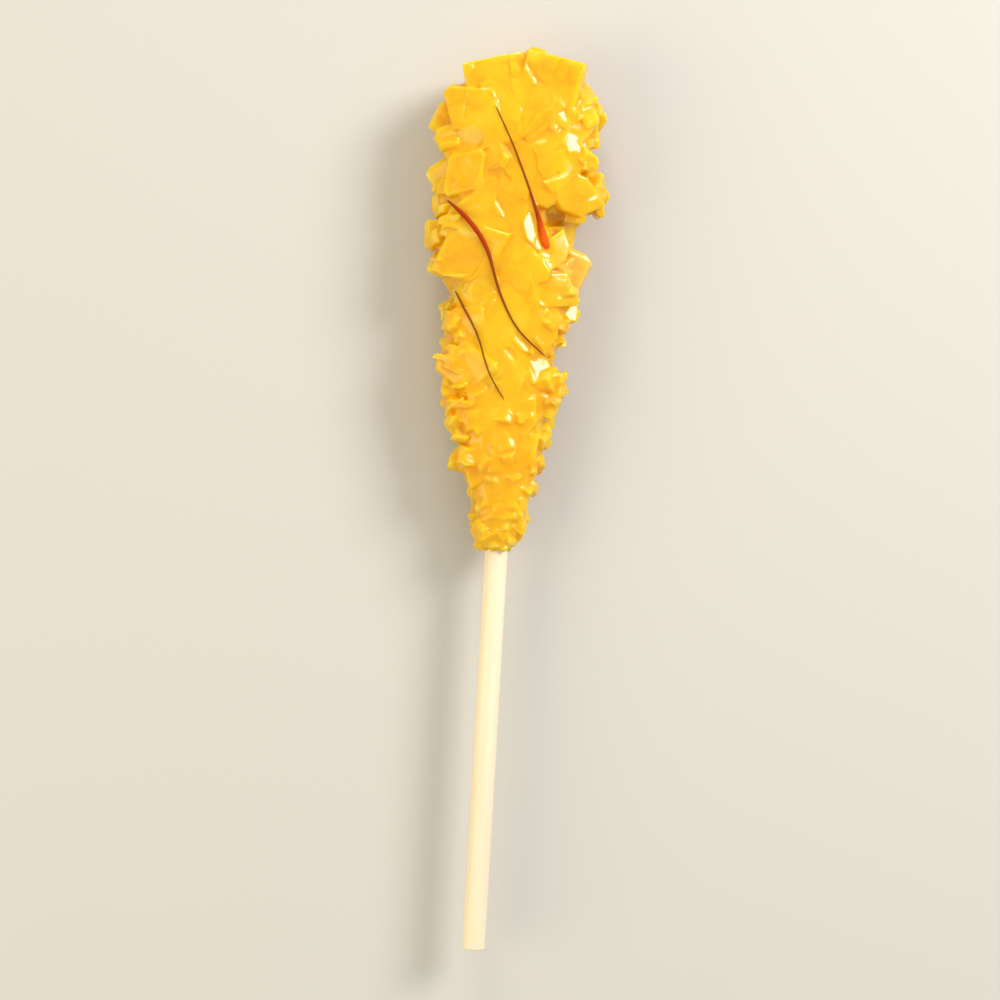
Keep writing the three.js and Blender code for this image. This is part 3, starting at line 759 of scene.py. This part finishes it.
def read_points(mesh):
    """The places and normals of a mesh's points, and a function that eases values over their neighbours."""
    size = len(mesh.vertices)
    places = numpy.empty(size * 3)
    mesh.vertices.foreach_get("co", places)
    normals = numpy.empty(size * 3)
    mesh.vertices.foreach_get("normal", normals)
    ends = numpy.empty(len(mesh.edges) * 2, dtype=int)
    mesh.edges.foreach_get("vertices", ends)
    first, second = ends.reshape(-1, 2).T
    count = numpy.bincount(ends, minlength=size)

    def eased(values, rounds):
        for _ in range(rounds):
            columns = values.reshape(size, -1).T
            sums = [numpy.bincount(first, column[second], size) + numpy.bincount(second, column[first], size)
                    for column in columns]
            values = (numpy.array(sums) / count).T.reshape(values.shape)
        return values

    return places.reshape(-1, 3), normals.reshape(-1, 3), eased


def ramp(values, ends):
    """Shares from 0 at one end to 1 at the other."""
    low, high = ends
    return numpy.clip((values - low) / (high - low), 0, 1)


def facet_planes(obj, places, facing, flat):
    """Planes at random places of the flat faces, each tilted its own way, and one for each glint."""
    draw = random_stream(FACET_SEED)
    planes = []
    while len(planes) < FACETS["count"]:
        i = min(int(next(draw) * len(places)), len(places) - 1)
        if flat[i] > FACETS["least"]:
            planes.append((Vector(places[i]), tilted(Vector(facing[i]), FACETS["tilt"], draw)))
    surface = surface_of([obj])
    for across, along in GLINTS:
        hit, _ = meet(surface, Vector((across, along, ABOVE)), DOWN)
        planes.append((hit + DOWN * (FACETS["glint_depth"] * MM), GLINT_TURN.normalized()))
    return planes


def cut_facets(obj):
    """Flattens the upper and under faces to broad planes."""
    places, normals, eased = read_points(obj.data)
    facing = eased(normals, FACETS["ease"])
    facing /= numpy.linalg.norm(facing, axis=1)[:, None]
    along = (places[:, 1] - NARROW_END.y) / MM
    flat = ramp(abs(facing[:, 2]), FACETS["level"]) * ramp(along, FACETS["along"])
    planes = facet_planes(obj, places, facing, flat)
    stretched = Vector((1, FACETS["stretch"], 1))
    tree = KDTree(len(planes))
    for i, (middle, _) in enumerate(planes):
        tree.insert(middle * stretched, i)
    tree.balance()
    deepest = FACETS["deepest"] * MM
    for i in numpy.flatnonzero(flat > 0):
        vertex = obj.data.vertices[i]
        middle, normal = planes[tree.find(vertex.co * stretched)[1]]
        off = (vertex.co - middle).dot(normal)
        if abs(off) < deepest:
            vertex.co -= normal * off * flat[i] * (1 - (off / deepest) ** 2)


def store_rims(obj):
    """Stores on each point how far the sugar stands out there, and how thin it is: the masks for the painted
    rim highlights, the painted shade in hollows and the painted light through thin sugar.
    """
    places, normals, eased = read_points(obj.data)
    turn = ((places - eased(places, RIM_ROUNDS)) * normals).sum(axis=1) / MM
    tree = surface_of([obj])
    thin = numpy.empty(len(places))
    for i, (place, normal) in enumerate(zip(places - normals * SKIN, normals)):
        distance = tree.ray_cast(Vector(place), -Vector(normal))[3]
        thin[i] = 0 if distance is None else max(0, 1 - distance / THIN)
    # The first mask drives the painted rim highlight and the painted shade in hollows, the second the
    # painted light through thin sugar
    for name, values in (("painted_rim_light_crease_shade", eased(turn, 1)), ("thin", eased(thin, RIM_ROUNDS))):
        obj.data.attributes.new(name, "FLOAT", "POINT").data.foreach_set("value", values)


# Materials

def set_inputs(tree, node, inputs):
    """Links each input to the socket given for it, or gives it the plain value."""
    for name, value in inputs.items():
        if isinstance(value, bpy.types.NodeSocket):
            tree.links.new(value, node.inputs[name])
        else:
            node.inputs[name].default_value = value


def add_node(tree, kind, inputs=None, **settings):
    node = tree.nodes.new(kind)
    for name, value in settings.items():
        setattr(node, name, value)
    set_inputs(tree, node, inputs or {})
    return node


def new_material(name):
    """A material with its node tree, its shader and the place that its patterns lie on."""
    material = bpy.data.materials.new(name)
    material.use_nodes = True
    tree = material.node_tree
    tree.nodes.clear()
    shader = tree.nodes.new("ShaderNodeBsdfPrincipled")
    add_node(tree, "ShaderNodeOutputMaterial", {"Surface": shader.outputs["BSDF"]})
    return material, tree, shader, tree.nodes.new("ShaderNodeTexCoord").outputs["Object"]


def mix_colours(tree, share, first, second):
    """A mix of two colours that are sockets or plain values."""
    first, second = (c if isinstance(c, bpy.types.NodeSocket) else (*c, 1) for c in (first, second))
    return add_node(tree, "ShaderNodeMix", {0: share, 6: first, 7: second}, data_type="RGBA").outputs[2]


def map_range(tree, value, seen, shares=(0, 1)):
    """A share that changes from one end to the other while the value runs between the two seen."""
    return add_node(tree, "ShaderNodeMapRange", {
        "Value": value, "From Min": seen[0], "From Max": seen[1], "To Min": shares[0], "To Max": shares[1],
    }).outputs["Result"]


def noise(tree, place, scale, detail=2.0, output="Fac"):
    node = add_node(tree, "ShaderNodeTexNoise", {"Vector": place, "Scale": scale, "Detail": detail})
    return node.outputs[output]


def voronoi(tree, place, scale, feature, output):
    node = add_node(tree, "ShaderNodeTexVoronoi", {"Vector": place, "Scale": scale}, feature=feature)
    return node.outputs[output]


def stored(tree, name):
    """A value that the mesh holds on its points."""
    return add_node(tree, "ShaderNodeAttribute", attribute_name=name).outputs["Fac"]


def fine_grain_group():
    """A group that gives a fine grain, and a roughness that follows it, for any material."""
    group = bpy.data.node_groups.new("fine_grain", "ShaderNodeTree")
    for name, kind in (("Place", "NodeSocketVector"), ("Scale", "NodeSocketFloat"),
                       ("Smoothest", "NodeSocketFloat"), ("Roughest", "NodeSocketFloat")):
        group.interface.new_socket(name, in_out="INPUT", socket_type=kind)
    for name in ("Grain", "Roughness"):
        group.interface.new_socket(name, in_out="OUTPUT", socket_type="NodeSocketFloat")
    given = group.nodes.new("NodeGroupInput").outputs
    grain = noise(group, given["Place"], given["Scale"], 3.0)
    roughness = map_range(group, grain, (0.3, 0.7), (given["Smoothest"], given["Roughest"]))
    add_node(group, "NodeGroupOutput", {"Grain": grain, "Roughness": roughness})
    return group


def add_grain(tree, shader, place, scale, roughness, height, strength=0.3):
    """Gives a material the fine grain: its roughness between two values, and its relief in metres."""
    group = bpy.data.node_groups.get("fine_grain") or fine_grain_group()
    grain = add_node(tree, "ShaderNodeGroup", node_tree=group)
    set_inputs(tree, grain, {
        "Place": place, "Scale": scale, "Smoothest": roughness[0], "Roughest": roughness[1]})
    bump = add_node(tree, "ShaderNodeBump", {
        "Strength": strength, "Distance": height, "Height": grain.outputs["Grain"]})
    set_inputs(tree, shader, {"Roughness": grain.outputs["Roughness"], "Normal": bump.outputs["Normal"]})
    return grain.outputs["Grain"]


def sugar_cells(tree, place):
    """A tone of its own for each small cell of the sugar."""
    cells = voronoi(tree, place, PATTERNS["cells"], "F1", "Color")
    return add_node(tree, "ShaderNodeSeparateColor", {"Color": cells}).outputs["Red"]


def sugar_seams(tree, place):
    """Bent seams between larger cells, which fade in and out."""
    waves = noise(tree, place, PATTERNS["waves"], output="Color")
    bent = add_node(tree, "ShaderNodeVectorMath", {0: waves, 1: [SEAM_BEND] * 3, 2: place},
                    operation="MULTIPLY_ADD")
    lines = voronoi(tree, bent.outputs["Vector"], PATTERNS["seams"], "DISTANCE_TO_EDGE", "Distance")
    seam = map_range(tree, lines, (0, 0.16), (0.3, 0))
    shown = map_range(tree, noise(tree, place, PATTERNS["fading"]), (0.4, 0.62))
    return add_node(tree, "ShaderNodeMath", {0: seam, 1: shown}, operation="MULTIPLY").outputs[0]


def sugar_material(settings):
    material, tree, shader, place = new_material("saffron_sugar")
    lobe = add_node(tree, "ShaderNodeVectorMath", {0: place, 1: TO_FRAME @ CLEAR_LOBE}, operation="DISTANCE")
    patterns = {
        "clouds": noise(tree, place, PATTERNS["clouds"], 3),
        "cells": sugar_cells(tree, place),
        "patches": noise(tree, place, PATTERNS["patches"], 3),
        "seams": sugar_seams(tree, place),
        # The next two masks paint light and shade: paler standing-out rims, deeper hollows and paler thin
        # sugar
        "painted_rim_light_crease_shade": stored(tree, "painted_rim_light_crease_shade"),
        "thin": stored(tree, "thin"),
        "lobe": lobe.outputs["Value"],
    }
    colour = settings.deep_and_crease_shade_colour
    for pattern, seen, shares, layer in SUGAR_LAYERS:
        share = map_range(tree, patterns[pattern], seen, shares)
        colour = mix_colours(tree, share, colour, getattr(settings, layer))
    add_grain(tree, shader, place, 700, (0.05, 0.18), 0.0001)
    set_inputs(tree, shader, {
        "Base Color": colour, "IOR": 1.54, "Specular IOR Level": 0.28, "Transmission Weight": 0.28,
        "Subsurface Weight": 0.85, "Subsurface Radius": (1.0, 0.75, 0.15), "Subsurface Scale": 0.0035})
    return material


def heart_material(settings):
    material, tree, shader, place = new_material("cloudy_sugar")
    cloud = map_range(tree, noise(tree, place, 140, 4), (0.35, 0.65))
    add_grain(tree, shader, place, 400, (0.4, 0.6), 0.0002)
    set_inputs(tree, shader, {
        "Base Color": mix_colours(tree, cloud, settings.deep_and_crease_shade_colour, settings.pale_and_painted_light_colour),
        "Subsurface Weight": 0.8, "Subsurface Radius": (1.0, 0.5, 0.08), "Subsurface Scale": 0.003})
    return material


def thread_material(settings):
    material, tree, shader, place = new_material("saffron_thread")
    flare = stored(tree, "flare")
    thicker = map_range(tree, flare, (0.25, 0.55))
    colour = mix_colours(tree, thicker, settings.dark_colour, settings.red_colour)
    colour = mix_colours(tree, map_range(tree, flare, (0.6, 1)), colour, settings.bright_colour)
    grain = add_grain(tree, shader, place, 1500, (0.5, 0.7), 0.00004)
    streaks = map_range(tree, grain, (0.4, 0.65), (0, 0.35))
    colour = mix_colours(tree, streaks, colour, settings.dark_colour)
    set_inputs(tree, shader, {"Base Color": colour, "Specular IOR Level": 0.1})
    return material


def stick_material(settings):
    material, tree, shader, place = new_material("pale_stick")
    drawn = add_node(tree, "ShaderNodeMapping", {"Vector": place, "Scale": (1, 0.03, 1)}).outputs["Vector"]
    fibres = map_range(tree, noise(tree, drawn, 1600, 3), (0.3, 0.7))
    add_grain(tree, shader, drawn, 1600, (0.38, 0.5), 0.00005, 0.15)
    set_inputs(tree, shader, {
        "Base Color": mix_colours(tree, fibres, settings.colour, [c * 0.94 for c in settings.colour]),
        "Subsurface Weight": 0.1, "Subsurface Scale": 0.001})
    return material


def floor_material(settings):
    material, tree, shader, place = new_material("floor")
    cloud = map_range(tree, noise(tree, place, 3), (0.3, 0.7))
    floor = settings.floor_colour
    set_inputs(tree, shader, {
        "Base Color": mix_colours(tree, cloud, floor, [c * 0.985 for c in floor]),
        "Roughness": 0.6, "Specular IOR Level": 0.2})
    return material


# The pieces

def grown_sugar(settings):
    """The inner body with all its crystals, joined to one solid."""
    kinds = {kind: model_crystal(kind) for kind in KINDS}
    body = model_mass("sugar_crystals", BODY)
    grown = bpy.data.collections.new("grown_crystals")
    bpy.context.scene.collection.children.link(grown)
    large = [place_crystal(kinds, crystal, grown, settings.edge_round) for crystal in main_crystals()]
    surface = surface_of([body, *large])
    small = [*fine_crystals(surface, settings.fine_count), *end_crystals(surface), *collar_crystals(surface)]
    for crystal in small:
        place_crystal(kinds, crystal, grown, settings.edge_round * FINE["edge_round"])
    add_modifier(body, "Grown together", "BOOLEAN", operation="UNION", solver="MANIFOLD",
                 operand_type="COLLECTION", collection=grown)
    apply_modifiers(body)
    for used in (*kinds.values(), *grown.objects):
        bpy.data.objects.remove(used)
    bpy.data.collections.remove(grown)
    return body


def melt(sugar, settings):
    """Melts the sugar's edges a little, cuts its broad facets and thins its mesh out."""
    add_modifier(sugar, "Melted together", "REMESH", mode="VOXEL", voxel_size=settings.grain)
    add_modifier(sugar, "Eased", "SMOOTH", factor=0.5, iterations=1)
    apply_modifiers(sugar)
    cut_facets(sugar)
    store_rims(sugar)
    thinner = MOST_TRIANGLES / (2 * len(sugar.data.polygons))
    add_modifier(sugar, "Thinned out", "DECIMATE", ratio=thinner)
    apply_modifiers(sugar)


def bore_and_level(sugar):
    """Bores the sugar for its stick, and cuts it level with the floor."""
    deselect_all()
    bpy.ops.mesh.primitive_cylinder_add(
        vertices=BORE["sides"], radius=STICK_RADIUS - BORE["narrower"], depth=STICK_BURIED + BORE["past"],
        location=NARROW_END + Vector((0, (STICK_BURIED - BORE["past"]) / 2 - BORE["shorter"], 0)),
        rotation=(math.pi / 2, 0, 0))
    cut_away(sugar, bpy.context.active_object)
    deselect_all()
    bpy.ops.mesh.primitive_cube_add(size=FLOOR_CUT, location=(0, 0, -FLOOR_CUT / 2))
    cut_away(sugar, bpy.context.active_object)


def cloudy_heart():
    """The lumpy core that shows through the clear sugar."""
    heart = model_mass("sugar_heart", HEART)
    clouds = bpy.data.textures.new("clouds", "CLOUDS")
    clouds.noise_scale = 0.004
    add_modifier(heart, "Cloudy lumps", "DISPLACE", texture=clouds, texture_coords="LOCAL", strength=0.0016)
    apply_modifiers(heart)
    bpy.ops.object.shade_smooth()
    return heart


def thread_route(thread, surface, sunk):
    """A thread's places over the sugar, in even steps of its route."""
    route = []
    for step in range(THREAD_STEPS + 1):
        share = step / THREAD_STEPS
        across, along = (through([point[i] for point in thread["route"]], share) for i in range(2))
        route.append(crest_under(surface, across, along))
    crests = [max(place.z for place in route[max(i - THREAD_CREST, 0):i + THREAD_CREST + 1])
              for i in range(len(route))]
    for step, place in enumerate(route):
        near = crests[max(step - THREAD_EASE, 0):step + THREAD_EASE + 1]
        place.z = max(sum(near) / len(near), crests[step]) - sunk
    return route


def drawn_thread(thread, route):
    """A round thread along its route, thin and pointed or flared at its ends."""
    deselect_all()
    bpy.ops.curve.primitive_nurbs_path_add()
    curve = bpy.context.active_object
    curve.name = thread["name"]
    spline = curve.data.splines[0]
    spline.points.add(len(route) - len(spline.points))
    for step, point in enumerate(spline.points):
        point.co = (*route[step], 1)
        from_end = min(step, THREAD_STEPS - step, len(THREAD_END) - 1)
        point.radius = through(thread["halves"], step / THREAD_STEPS) * THREAD_END[from_end]
    curve.data.dimensions = "3D"
    curve.data.bevel_depth = MM
    curve.data.bevel_resolution = 4
    curve.data.use_fill_caps = True
    spline.use_endpoint_u = True
    spline.order_u = 4
    bpy.ops.object.convert(target="MESH")
    bpy.ops.object.transform_apply(location=True, rotation=True, scale=True)
    bpy.ops.object.shade_smooth()
    return bpy.context.active_object


def store_flare(piece, thread, route):
    """Stores on each point of a thread how wide the thread is there, against the widest of all."""
    widest = max(max(other["halves"]) for other in THREADS)
    flare = []
    for vertex in piece.data.vertices:
        step = min(range(len(route)), key=lambda i: (route[i].xy - vertex.co.xy).length)
        flare.append(through(thread["halves"], step / THREAD_STEPS) / widest)
    piece.data.attributes.new("flare", "FLOAT", "POINT").data.foreach_set("value", flare)


def turned_stick(sides):
    """The round stick, with eased ends."""
    deselect_all()
    bpy.ops.mesh.primitive_cylinder_add(
        vertices=sides, radius=STICK_RADIUS, depth=STICK_HIGH.y - STICK_LOW.y,
        location=(STICK_LOW + STICK_HIGH) / 2, rotation=(math.pi / 2, 0, 0))
    stick = bpy.context.active_object
    stick.name = "stick_body"
    bpy.ops.object.transform_apply(location=True, rotation=True, scale=True)
    select_parts(stick, "FACE", lambda f: abs(f.normal.y) > 0.9)
    bpy.ops.mesh.bevel(offset=STICK_EASE, segments=3, affect="EDGES")
    bpy.ops.object.mode_set(mode="OBJECT")
    bpy.ops.object.shade_smooth_by_angle(angle=SMOOTH_BELOW)
    return stick


# The studio

def area_light(name, place, size, power, colour):
    """A round light that points at the stirrer."""
    deselect_all()
    bpy.ops.object.light_add(type="AREA", location=place)
    light = bpy.context.active_object
    light.name = name
    light.data.shape = "DISK"
    light.data.size = size
    light.data.energy = power
    light.data.color = colour
    light.rotation_euler = (-Vector(place)).to_track_quat("-Z", "Y").to_euler()


def sky(settings):
    world = bpy.data.worlds.new("studio")
    world.use_nodes = True
    set_inputs(world.node_tree, world.node_tree.nodes["Background"], {
        "Color": (*settings.sky_colour, 1), "Strength": settings.sky_strength})
    return world


def camera_above(settings):
    """A camera straight above the stirrer, at the distance from which it fills its share of the picture."""
    low, high = CAD_BOX
    deselect_all()
    bpy.ops.object.camera_add()
    camera = bpy.context.active_object
    camera.name = "camera"
    camera.data.lens = settings.lens
    distance = (high - low).y / settings.filled * settings.lens / camera.data.sensor_width
    camera.location = (low + high) / 2 + Vector((0, 0, distance))
    camera.rotation_euler = (0, 0, settings.roll)
    camera.data.clip_start = 0.01
    camera.data.clip_end = 20
    return camera


# The steps, the panel and the registering

class STIRRER_OT_grow_sugar(bpy.types.Operator):
    """Grow the sugar crystals on the stick, round their cloudy heart"""

    bl_idname = "stirrer.grow_sugar"
    bl_label = "Grow sugar"

    def execute(self, context):
        settings = context.scene.sugar_settings
        sugar = grown_sugar(settings)
        melt(sugar, settings)
        bore_and_level(sugar)
        select_only(sugar)
        bpy.ops.object.shade_smooth_by_angle(angle=SMOOTH_BELOW)
        dress(sugar, sugar_material(settings))
        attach(sugar, "root")
        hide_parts("candy")

        heart = cloudy_heart()
        dress(heart, heart_material(settings))
        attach(heart, "root")
        return {"FINISHED"}


class STIRRER_OT_lay_threads(bpy.types.Operator):
    """Lay the saffron threads on the sugar"""

    bl_idname = "stirrer.lay_threads"
    bl_label = "Lay threads"

    def execute(self, context):
        settings = context.scene.thread_settings
        surface = surface_of([bpy.data.objects["sugar_crystals"]])
        material = thread_material(settings)
        for thread in THREADS:
            route = thread_route(thread, surface, settings.sunk)
            piece = drawn_thread(thread, route)
            store_flare(piece, thread, route)
            dress(piece, material)
            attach(piece, "root")
        return {"FINISHED"}


class STIRRER_OT_turn_stick(bpy.types.Operator):
    """Turn the round stick with its eased ends"""

    bl_idname = "stirrer.turn_stick"
    bl_label = "Turn stick"

    def execute(self, context):
        settings = context.scene.stick_settings
        stick = turned_stick(settings.sides)
        dress(stick, stick_material(settings))
        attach(stick, "root")
        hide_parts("stick")
        return {"FINISHED"}


class STIRRER_OT_set_studio(bpy.types.Operator):
    """Set the floor, the lights and the camera"""

    bl_idname = "stirrer.set_studio"
    bl_label = "Set studio"

    def execute(self, context):
        settings = context.scene.studio_settings
        deselect_all()
        bpy.ops.mesh.primitive_plane_add(size=settings.floor_size)
        floor = bpy.context.active_object
        floor.name = "floor"
        dress(floor, floor_material(settings))
        for light in LIGHTS:
            area_light(**light)
        context.scene.world = sky(settings)
        context.scene.camera = camera_above(settings)
        context.scene.view_settings.view_transform = "Standard"
        return {"FINISHED"}


class STIRRER_PT_panel(bpy.types.Panel):
    """Lists the sizes, colours and steps"""

    bl_idname = "STIRRER_PT_panel"
    bl_label = "Rock candy stirrer"
    bl_space_type = "VIEW_3D"
    bl_region_type = "UI"
    bl_category = "Stirrer"

    def draw(self, context):
        for name, (_, step) in PARTS.items():
            group = getattr(context.scene, name)
            box = self.layout.box()
            for prop in group.__annotations__:
                box.prop(group, prop)
            box.operator(step.bl_idname)


# Each group of settings with the operator that uses it
PARTS = {
    "sugar_settings": (SugarSettings, STIRRER_OT_grow_sugar),
    "thread_settings": (ThreadSettings, STIRRER_OT_lay_threads),
    "stick_settings": (StickSettings, STIRRER_OT_turn_stick),
    "studio_settings": (StudioSettings, STIRRER_OT_set_studio),
}


def register():
    for name, (group, step) in PARTS.items():
        bpy.utils.register_class(group)
        setattr(bpy.types.Scene, name, bpy.props.PointerProperty(type=group))
        bpy.utils.register_class(step)
    bpy.utils.register_class(STIRRER_PT_panel)


def unregister():
    bpy.utils.unregister_class(STIRRER_PT_panel)
    for name, (group, step) in PARTS.items():
        bpy.utils.unregister_class(step)
        delattr(bpy.types.Scene, name)
        bpy.utils.unregister_class(group)


def main():
    register()
    bpy.ops.stirrer.set_studio()
    bpy.ops.stirrer.grow_sugar()
    bpy.ops.stirrer.lay_threads()
    bpy.ops.stirrer.turn_stick()


if __name__ == "__main__":
    main()
